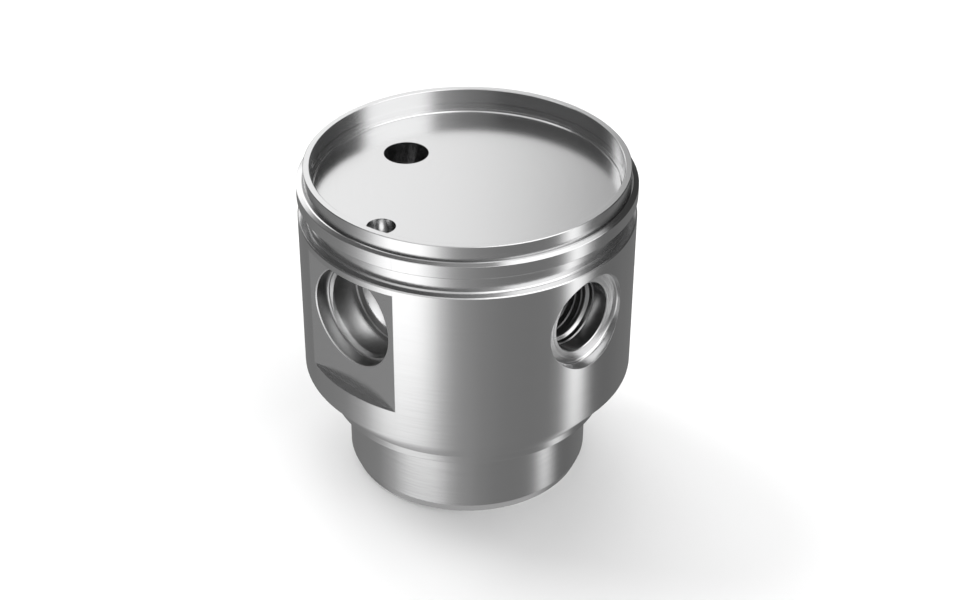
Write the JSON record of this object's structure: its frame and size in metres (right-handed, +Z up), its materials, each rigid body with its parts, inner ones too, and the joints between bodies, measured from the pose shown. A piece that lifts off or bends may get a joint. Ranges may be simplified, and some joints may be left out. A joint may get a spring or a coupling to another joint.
{
  "type": "high-pressure regulator body",
  "caption": "Turned one-piece steel body of a high-pressure regulator: rimmed recess, seal groove, stepped side bore in a milled flat, spotfaced tapped port and a stepped nose.",
  "frame": {"origin": "centre of the nose's end face, on the body's axis", "axes": "+Z up the body's axis to the open rim, -X out of the stepped bore in the milled flat, -Y out of the tapped port"},
  "size_m": [0.06, 0.06, 0.061],
  "materials": {
    "body_steel": "satin turned"
  },
  "bodies": {
    "root": {"regulator_body": "body_steel"}
  },
  "joints": []
}
